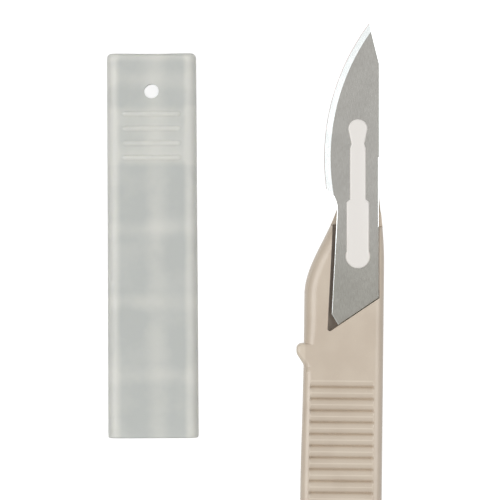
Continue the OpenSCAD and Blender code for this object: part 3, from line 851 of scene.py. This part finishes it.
def sleeve_section(width, height, radius):
    """Section (x, z) of the sleeve, anticlockwise: a rounded rectangle with points spread along its flats."""
    w, r = width / 2, radius
    flat = np.linspace(-w + r, w - r, SLEEVE_STEPS + 1)[1:-1]
    return joined(
        arc((w - r, r), r, -90, 0, SLEEVE_CORNER_STEPS),
        arc((w - r, height - r), r, 0, 90, SLEEVE_CORNER_STEPS),
        columns(flat[::-1], height),
        arc((-w + r, height - r), r, 90, 180, SLEEVE_CORNER_STEPS),
        arc((-w + r, r), r, 180, 270, SLEEVE_CORNER_STEPS),
        columns(flat, 0.0),
    )


def sleeve_rings(section, levels, draft_per_length):
    """Rings of the sleeve along Y: each level (y, inset) moves the section along its inward normals, and the
    sides draw in evenly with y."""
    y, inset = levels[:, 0, None], levels[:, 1, None, None]
    flat = section[None] + inset * inward(section)[None]
    draft = np.clip(y, 0, None) * draft_per_length
    return columns(flat[..., 0] - np.sign(flat[..., 0]) * draft, y, flat[..., 1])[:, ::-1]


def bar_height(c, x, y):
    """Height of the grip bars over the top face: with d the distance to the nearest bar's centre line as a
    share of half its width, height (1 - d^2)^0.75 where d is under 1."""
    roundness = 0.75
    first = c.length - c.bar_from_end
    nearest = np.clip(np.round((first - y) / c.bar_pitch), 0, c.bar_count - 1)
    side = np.clip(np.abs(x) - (c.bar_len - c.bar_w) / 2, 0, None)
    d = np.hypot(side, y - (first - nearest * c.bar_pitch)) / (c.bar_w / 2)
    return c.bar_h * np.clip(1 - d * d, 0, None) ** roundness


def make_cap_mesh(c):
    """The cap: outer skin with its bars, less the inner space and the hole. The middle of the closed end is
    drawn in by sink cos^2(pi x / width)."""
    per_length = c.draft / c.length
    bars_end = c.length - c.bar_from_end + c.bar_w
    bars_start = bars_end - (c.bar_count - 1) * c.bar_pitch - 2 * c.bar_w
    plain = np.linspace(c.mouth_r, bars_start, PLAIN_ROWS)[:-1]
    barred = np.linspace(bars_start, bars_end, BAR_ROWS)
    rest = np.linspace(bars_end, c.length - c.end_r, END_ROWS)[1:-1]
    mouth = columns(*quarter_round(c.mouth_r))[::-1]
    fall, inset = quarter_round(c.end_r)
    levels = joined(mouth[:-1], columns(joined(plain, barred, rest), 0.0), columns(c.length - fall, inset))
    outer = sleeve_rings(sleeve_section(c.width, c.height, c.edge_r), levels, per_length)
    on_top = outer[..., 2] > c.height * NEARLY
    outer[..., 2] += np.where(on_top, bar_height(c, outer[..., 0], outer[..., 1]), 0)
    sink_len = 3 * c.end_r
    near_end = smooth((outer[..., 1] - c.length + sink_len) / sink_len)
    outer[..., 1] -= c.end_sink * near_end * np.cos(math.pi * outer[..., 0] / c.width) ** 2
    obj = solid("blade_cap", outer)

    inner_top = c.length - c.end_t
    fall, inset = quarter_round(c.end_r / 2)
    levels = joined([(-MM, 0), (c.mouth_r, 0), (inner_top / 2, 0)], columns(inner_top - fall, inset))
    section = sleeve_section(c.width - 2 * c.wall, c.height - 2 * c.wall, c.edge_r - c.wall) + [0, c.wall]
    cut(obj, sleeve_rings(section, levels, per_length))
    hole = arc((0, c.length - c.hole_from_end), c.hole_r, 0, 360, HOLE_STEPS)[:-1]
    lower = [(-MM, -c.hole_draft), (c.wall, -c.hole_draft)]
    cut(obj, slab_rings(hole, lower + [(c.height - c.wall, 0), (c.height + MM, 0)]))
    obj.data.transform(Matrix.Translation((c.at_x, c.at_y, 0)) @ Matrix.Rotation(c.turn, 4, "Z"))
    return obj


def add_node(tree, kind, inputs, **settings):
    """Adds a node, sets its properties, gives each input its value or its link, and returns the outputs."""
    node = tree.nodes.new("ShaderNode" + kind)
    for name, value in settings.items():
        setattr(node, name, value)
    for name, value in inputs.items():
        if isinstance(value, bpy.types.NodeSocket):
            tree.links.new(value, node.inputs[name])
        else:
            node.inputs[name].default_value = value
    return node.outputs


def add_distance(tree, value, middle):
    """How far a value lies from a middle, on either side."""
    off = add_node(tree, "Math", {0: value, 1: middle}, operation="SUBTRACT")["Value"]
    return add_node(tree, "Math", {0: off}, operation="ABSOLUTE")["Value"]


def add_masks(tree, masks, operation="ADD", total=None):
    """Adds masks up or multiplies them, on top of an earlier total if there is one. Each mask is a value, the
    stretch of it over which the mask runs by a smooth step, and the mask before and after that stretch."""
    for value, (start, end), (before, after) in masks:
        run = {"Value": value, "From Min": start, "From Max": end, "To Min": before, "To Max": after}
        mask = add_node(tree, "MapRange", run, interpolation_type="SMOOTHSTEP")["Result"]
        if total is None:
            total = mask
        else:
            total = add_node(tree, "Math", {0: total, 1: mask}, operation=operation)["Value"]
    return total


def new_material(name):
    """An empty node material and its tree."""
    material = bpy.data.materials.new(name)
    material.use_nodes = True
    material.node_tree.nodes.clear()
    return material, material.node_tree


def moulded_abs(colours, s, finish):
    """ABS from a spark-eroded mould: an even matt bloom with a faint sheen, slightly cloudy, and with a
    painted highlight, a paler colour on the crests of the grip ribs and on the lug. The grain is drawn
    coarser than the real one, so that it shows."""
    material, tree = new_material("moulded_abs_spark_eroded")
    place = add_node(tree, "TexCoord", {})["Object"]
    fine = {"Vector": place, "Scale": 1 / finish.grain, "Detail": 3.0, "Roughness": 0.6}
    grain = add_node(tree, "TexNoise", fine)["Fac"]
    cloud = add_node(tree, "TexNoise", {"Vector": place, "Scale": 1 / finish.handle_cloud})["Fac"]
    axes = add_node(tree, "SeparateXYZ", {"Vector": place})
    x, y = axes["X"], axes["Y"]
    off_x = add_distance(tree, x, -s.groove_off)
    off_z = add_distance(tree, axes["Z"], s.thickness / 2)
    front = finish.highlight_before - s.groove_from
    rear = -s.groove_from - s.groove_pitch * (s.groove_count - 1) - finish.highlight_behind
    # Painted highlight: a paler colour on the crests of the grip ribs, near the face within the grooves'
    # span, and on the lug
    crests = (
        (off_z, (s.thickness / 2 - finish.highlight_deep, s.thickness / 2), (0, 1)),
        (off_x, (s.groove_len / 2 - s.groove_end, s.groove_len / 2), (1, 0)),
        (y, (front, front + finish.highlight_front), (1, 0)),
        (y, (rear - finish.highlight_rear, rear), (0, 1)),
    )
    lug = (
        (x, (-s.front_half, -s.front_half + s.lug_reach / 3), (finish.highlight_lug, 0)),
        (y, (-s.lug_len, -s.lug_len + s.lug_face), (0, 1)),
        (y, (0, s.lug_face / 2), (1, 0)),
    )
    painted = {0: add_masks(tree, crests, "MULTIPLY"), 1: add_masks(tree, lug, "MULTIPLY")}
    highlight = add_node(tree, "Math", painted, operation="ADD")["Value"]
    share = add_masks(tree, [(cloud, NOISE_SPREAD, (0, finish.handle_cloudy))], "ADD", highlight)
    tints = {MIX_SHARE: share, MIX_FIRST: tuple(colours.handle), MIX_SECOND: tuple(colours.handle_highlight)}
    relief = {"Height": grain, "Strength": finish.grain_relief, "Distance": finish.grain_deep}
    coat = {
        "Base Color": add_node(tree, "Mix", tints, data_type="RGBA")[MIX_RESULT],
        "Roughness": add_masks(tree, [(grain, (0, 1), (finish.handle_gloss, finish.handle_matt))]),
        "Normal": add_node(tree, "Bump", relief)["Normal"],
        "IOR": 1.53,
        "Specular IOR Level": 0.6,
    }
    add_node(tree, "OutputMaterial", {"Surface": add_node(tree, "BsdfPrincipled", coat)["BSDF"]})
    return material


def ground_steel(colours, b, finish):
    """Stainless steel, brushed along the blade on its faces and finely ground on its bevels: fine lines dull
    the faces to an even grey, and the bevels shine white where they face a lamp, with a near-white colour
    that is partly their ground finish and partly a painted highlight. The lines are drawn coarser than the
    real ones, so that they show."""
    material, tree = new_material("brushed_stainless_steel")
    place = add_node(tree, "TexCoord", {})["Object"]
    stretch = (1 / finish.line_w, 1 / finish.line_len, 1 / finish.line_w)
    turned = add_node(tree, "Mapping", {"Vector": place, "Rotation": (0, 0, -b.lean), "Scale": stretch})
    lines = add_node(tree, "TexNoise", {"Vector": turned["Vector"], "Scale": 1.0, "Detail": 3.0})["Fac"]
    cloud = add_node(tree, "TexNoise", {"Vector": place, "Scale": 1 / finish.steel_cloud})["Fac"]
    normal = add_node(tree, "NewGeometry", {})["True Normal"]
    up = add_distance(tree, add_node(tree, "SeparateXYZ", {"Vector": normal})["Z"], 0.0)
    along = add_node(tree, "SeparateXYZ", {"Vector": place})["Y"]
    face = add_masks(tree, [(up, FACE_UP, (0, 1))])
    # The ground bevels take the near-white colour, partly a painted highlight
    ground = {
        MIX_SHARE: add_masks(tree, [(up, HONED_UP, (0, 1))]),
        MIX_FIRST: tuple(colours.steel_honed),
        MIX_SECOND: tuple(colours.steel_ground_and_highlight),
    }
    # The faces turn to a darker grey towards the tang's end, fading out at the neck
    faces = {
        MIX_SHARE: add_masks(tree, [(along, (b.slot_heel_y - b.heel_y, b.slot_heel_y + b.neck_y), (1, 0))]),
        MIX_FIRST: tuple(colours.steel),
        MIX_SECOND: tuple(colours.steel_tang),
    }
    tints = {
        MIX_SHARE: add_masks(tree, [(lines, LINE_SPREAD, (1, 1 - finish.line_dark))], "MULTIPLY", face),
        MIX_FIRST: add_node(tree, "Mix", ground, data_type="RGBA")[MIX_RESULT],
        MIX_SECOND: add_node(tree, "Mix", faces, data_type="RGBA")[MIX_RESULT],
    }
    rough = (
        (face, (0, 1), (finish.bevel_rough, finish.face_rough)),
        (lines, NOISE_SPREAD, (0, finish.line_dull)),
        (cloud, NOISE_SPREAD, (0, finish.cloud_dull)),
    )
    strength = add_node(tree, "Math", {0: face, 1: finish.line_relief}, operation="MULTIPLY")["Value"]
    relief = {"Height": lines, "Strength": strength, "Distance": finish.line_deep}
    coat = {
        "Base Color": add_node(tree, "Mix", tints, data_type="RGBA")[MIX_RESULT],
        "Metallic": 1.0,
        "Roughness": add_masks(tree, rough),
        "Normal": add_node(tree, "Bump", relief)["Normal"],
    }
    add_node(tree, "OutputMaterial", {"Surface": add_node(tree, "BsdfPrincipled", coat)["BSDF"]})
    return material


def polished_plastic(colours, finish):
    """Polystyrene from a polished mould: even, pale and glossy, with faint waves in its shine."""
    material, tree = new_material("polished_polystyrene")
    place = add_node(tree, "TexCoord", {})["Object"]
    wave = add_node(tree, "TexNoise", {"Vector": place, "Scale": 1 / finish.key_wave})["Fac"]
    relief = {"Height": wave, "Strength": finish.key_relief, "Distance": finish.key_wave_deep}
    coat = {
        "Base Color": tuple(colours.key),
        "Roughness": finish.key_rough,
        "IOR": 1.55,
        "Normal": add_node(tree, "Bump", relief)["Normal"],
    }
    add_node(tree, "OutputMaterial", {"Surface": add_node(tree, "BsdfPrincipled", coat)["BSDF"]})
    return material


def milky_polyethylene(colours, cap, finish):
    """Low-density polyethylene, moulded thin: milky and waxy. It is paler over the stiffer bands of the
    moulding, and cloudy in between. The paler sides and closed end, where the wall is seen on edge, are
    painted light, and the paler crests of the bars are a painted highlight."""
    material, tree = new_material("milky_polyethylene")
    place = add_node(tree, "TexCoord", {})["Object"]
    lying = {"Vector": place, "Location": (cap.at_x, cap.at_y, 0), "Rotation": (0, 0, cap.turn)}
    own = add_node(tree, "Mapping", lying, vector_type="TEXTURE")["Vector"]
    axes = add_node(tree, "SeparateXYZ", {"Vector": own})
    x, y = axes["X"], axes["Y"]
    from_band = add_node(tree, "Math", {0: y, 1: cap.band_from}, operation="SUBTRACT")["Value"]
    to_band = add_node(tree, "Math", {0: from_band, 1: cap.band_pitch / 2}, operation="PINGPONG")["Value"]
    soft = {"Vector": place, "Scale": 1 / finish.cap_cloud, "Detail": 3.0, "Roughness": 0.55}
    cloud = add_node(tree, "TexNoise", soft)["Fac"]
    half, top, far = cap.width / 2, cap.height, cap.length
    bars_y = far - cap.bar_from_end - (cap.bar_count - 1) * cap.bar_pitch / 2
    # Paler shares: painted light on the sides and the closed end, where the wall is seen on edge, a painted
    # highlight on the bars' crests, and paler bands, stripe and patch around the bars
    pale = (
        (add_distance(tree, x, 0.0), (half - finish.side_in, half - finish.side_out), (0, finish.side_painted_light)),
        (to_band, (0, finish.band_half), (finish.band_pale, 0)),
        (add_distance(tree, x, finish.stripe_x), (0, finish.stripe_half), (finish.stripe_pale, 0)),
        (add_distance(tree, y, bars_y), (finish.bars_in, finish.bars_out), (finish.bars_pale, 0)),
        (axes["Z"], (top + finish.raised_low, top + finish.raised_high), (0, finish.bar_crest_highlight)),
        (y, (far - 2 * cap.end_t, far - cap.end_t / 2), (0, finish.end_painted_light)),
        (cloud, NOISE_SPREAD, (-finish.cap_clear, finish.cap_cloudy)),
    )
    share = add_masks(tree, pale)
    tints = {MIX_SHARE: share, MIX_FIRST: tuple(colours.cap), MIX_SECOND: tuple(colours.cap_pale_and_painted_light)}
    wax = add_node(tree, "TexNoise", {"Vector": place, "Scale": 1 / finish.wax})["Fac"]
    relief = {"Height": wax, "Strength": finish.wax_relief, "Distance": finish.wax_deep}
    coat = {
        "Base Color": add_node(tree, "Mix", tints, data_type="RGBA")[MIX_RESULT],
        "Roughness": finish.cap_rough,
        "IOR": 1.51,
        "Transmission Weight": 0.3,
        "Subsurface Weight": 0.5,
        "Subsurface Radius": (2.0 * MM, 2.0 * MM, 1.8 * MM),
        "Subsurface Scale": 1.0,
        "Normal": add_node(tree, "Bump", relief)["Normal"],
    }
    add_node(tree, "OutputMaterial", {"Surface": add_node(tree, "BsdfPrincipled", coat)["BSDF"]})
    return material


def dress(obj, node, material):
    """Gives a piece its finish and puts it in the place of its CAD node."""
    obj.data.materials.clear()
    obj.data.materials.append(material)
    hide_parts(node)
    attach(obj, "root")


class SCALPEL_OT_handle(bpy.types.Operator):
    """Makes the moulded handle"""

    bl_idname = "scalpel.make_handle"
    bl_label = "Make handle"

    def execute(self, context):
        scene = context.scene
        obj = make_handle_mesh(scene.scalpel_handle, scene.scalpel_blade)
        finish_edges(obj, scene.scalpel_handle.soft_edge, limit=32)
        material = moulded_abs(scene.scalpel_colours, scene.scalpel_handle, scene.scalpel_finishes)
        dress(obj, "handle", material)
        return {"FINISHED"}


class SCALPEL_OT_blade(bpy.types.Operator):
    """Makes the blade"""

    bl_idname = "scalpel.make_blade"
    bl_label = "Make blade"

    def execute(self, context):
        scene = context.scene
        obj = make_blade_mesh(scene.scalpel_blade, scene.scalpel_handle)
        finish_edges(obj, 0, limit=5)
        material = ground_steel(scene.scalpel_colours, scene.scalpel_blade, scene.scalpel_finishes)
        dress(obj, "blade", material)
        return {"FINISHED"}


class SCALPEL_OT_key(bpy.types.Operator):
    """Makes the key that fills the blade's slot"""

    bl_idname = "scalpel.make_key"
    bl_label = "Make locking key"

    def execute(self, context):
        scene = context.scene
        obj = make_key_mesh(scene.scalpel_blade, scene.scalpel_handle)
        finish_edges(obj, 0, limit=35)
        material = polished_plastic(scene.scalpel_colours, scene.scalpel_finishes)
        dress(obj, "locking_key", material)
        return {"FINISHED"}


class SCALPEL_OT_cap(bpy.types.Operator):
    """Makes the blade cap"""

    bl_idname = "scalpel.make_cap"
    bl_label = "Make cap"

    def execute(self, context):
        scene = context.scene
        obj = make_cap_mesh(scene.scalpel_cap)
        finish_edges(obj, 0, limit=35)
        material = milky_polyethylene(scene.scalpel_colours, scene.scalpel_cap, scene.scalpel_finishes)
        dress(obj, "cap", material)
        return {"FINISHED"}


def add_camera(scene, studio):
    """A camera that looks straight down on the object from far away, with the photograph's frame."""
    camera = bpy.data.cameras.new("camera")
    camera.sensor_width = 36.0
    camera.lens = camera.sensor_width * studio.height / (PHOTO_WIDTH_PX * PHOTO_SCALE)
    camera.clip_start, camera.clip_end = 0.01, 10.0
    obj = add_object("camera", camera)
    blade_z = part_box("blade")[1].z
    obj.location = (studio.aim_x, studio.aim_y, blade_z + studio.height)
    obj.rotation_euler = (0, 0, studio.roll)
    scene.camera = obj


def add_softbox(name, azimuth, elevation, power, studio):
    """A square area lamp, aimed at the middle of the frame from a compass direction and an elevation."""
    lamp = bpy.data.lights.new(name, "AREA")
    lamp.shape = "RECTANGLE"
    lamp.size = lamp.size_y = studio.lamp_side
    lamp.energy = power * studio.lamp_level
    obj = add_object(name, lamp)
    a, e = math.radians(azimuth), math.radians(elevation)
    away = Vector((math.sin(a) * math.cos(e), math.cos(a) * math.cos(e), math.sin(e)))
    obj.location = Vector((studio.aim_x, studio.aim_y, 0)) + away * studio.lamp_distance
    obj.rotation_mode = "QUATERNION"
    obj.rotation_quaternion = away.to_track_quat("Z", "Y")


def add_direct(tree):
    """1 for the rays that look at the background: those of the camera, of gloss and of clear plastic."""
    path = add_node(tree, "LightPath", {})
    direct = path["Is Camera Ray"]
    for ray in ("Is Glossy Ray", "Is Transmission Ray"):
        direct = add_node(tree, "Math", {0: direct, 1: path[ray]}, operation="MAXIMUM")["Value"]
    return direct


def studio_world(scene, room_level):
    """A pale room: white to what looks at it, and a plain level of light on what stands in it."""
    world = bpy.data.worlds.new("studio")
    world.use_nodes = True
    tree = world.node_tree
    tree.nodes.clear()
    strength = add_masks(tree, [(add_direct(tree), (0, 1), (room_level, 1))])
    room = add_node(tree, "Background", {"Color": (1, 1, 1, 1), "Strength": strength})["Background"]
    add_node(tree, "OutputWorld", {"Surface": room})
    scene.world = world


def floor_material(colours, studio):
    """Pale paper sweep: lit as paper, with the rest of its white added for what looks at it."""
    material, tree = new_material("paper_sweep")
    paper = add_node(tree, "BsdfDiffuse", {"Color": tuple(colours.floor)})["BSDF"]
    shown = {0: add_direct(tree), 1: studio.paper_glow}
    strength = add_node(tree, "Math", shown, operation="MULTIPLY")["Value"]
    glow = add_node(tree, "Emission", {"Color": (1, 1, 1, 1), "Strength": strength})["Emission"]
    add_node(tree, "OutputMaterial", {"Surface": add_node(tree, "AddShader", {0: paper, 1: glow})["Shader"]})
    return material


class SCALPEL_OT_stage(bpy.types.Operator):
    """Makes the floor, the lamps and the camera"""

    bl_idname = "scalpel.make_stage"
    bl_label = "Make stage"

    def execute(self, context):
        scene = context.scene
        studio = scene.scalpel_studio
        side, below = studio.floor_half, -studio.floor_drop
        corners = [(-side, -side, below), (side, -side, below), (side, side, below), (-side, side, below)]
        mesh = bpy.data.meshes.new("floor")
        mesh.from_pydata(corners, [], [[0, 1, 2, 3]])
        floor = add_object("floor", mesh)
        mesh.materials.append(floor_material(scene.scalpel_colours, studio))
        add_camera(scene, studio)
        studio_world(scene, studio.room_level)
        for name, azimuth, elevation, power in SOFTBOXES:
            add_softbox(name, azimuth, elevation, power, studio)
        scene.view_settings.view_transform = "Standard"
        return {"FINISHED"}


class SCALPEL_PT_parts(bpy.types.Panel):
    """Lists the scalpel's pieces"""

    bl_label = "Disposable scalpel"
    bl_space_type = "VIEW_3D"
    bl_region_type = "UI"
    bl_category = "Scalpel"

    def draw(self, context):
        for operator in OPERATORS:
            self.layout.operator(operator.bl_idname)


GROUPS = {
    "scalpel_handle": ScalpelHandleSizes,
    "scalpel_blade": ScalpelBladeSizes,
    "scalpel_cap": ScalpelCapSizes,
    "scalpel_colours": ScalpelColours,
    "scalpel_finishes": ScalpelFinishes,
    "scalpel_studio": ScalpelStudio,
}
OPERATORS = (SCALPEL_OT_handle, SCALPEL_OT_blade, SCALPEL_OT_key, SCALPEL_OT_cap, SCALPEL_OT_stage)
CLASSES = (*GROUPS.values(), *OPERATORS, SCALPEL_PT_parts)


def register():
    """Registers the classes and hangs each group of settings on the scene."""
    for cls in CLASSES:
        bpy.utils.register_class(cls)
    for name, group in GROUPS.items():
        setattr(bpy.types.Scene, name, PointerProperty(type=group))


def unregister():
    """Takes the settings and the classes away again."""
    for name in GROUPS:
        delattr(bpy.types.Scene, name)
    for cls in reversed(CLASSES):
        bpy.utils.unregister_class(cls)


def main():
    """Makes every piece and the stage."""
    register()
    bpy.ops.scalpel.make_handle()
    bpy.ops.scalpel.make_blade()
    bpy.ops.scalpel.make_key()
    bpy.ops.scalpel.make_cap()
    bpy.ops.scalpel.make_stage()
    bpy.context.view_layer.update()


if __name__ == "__main__":
    main()
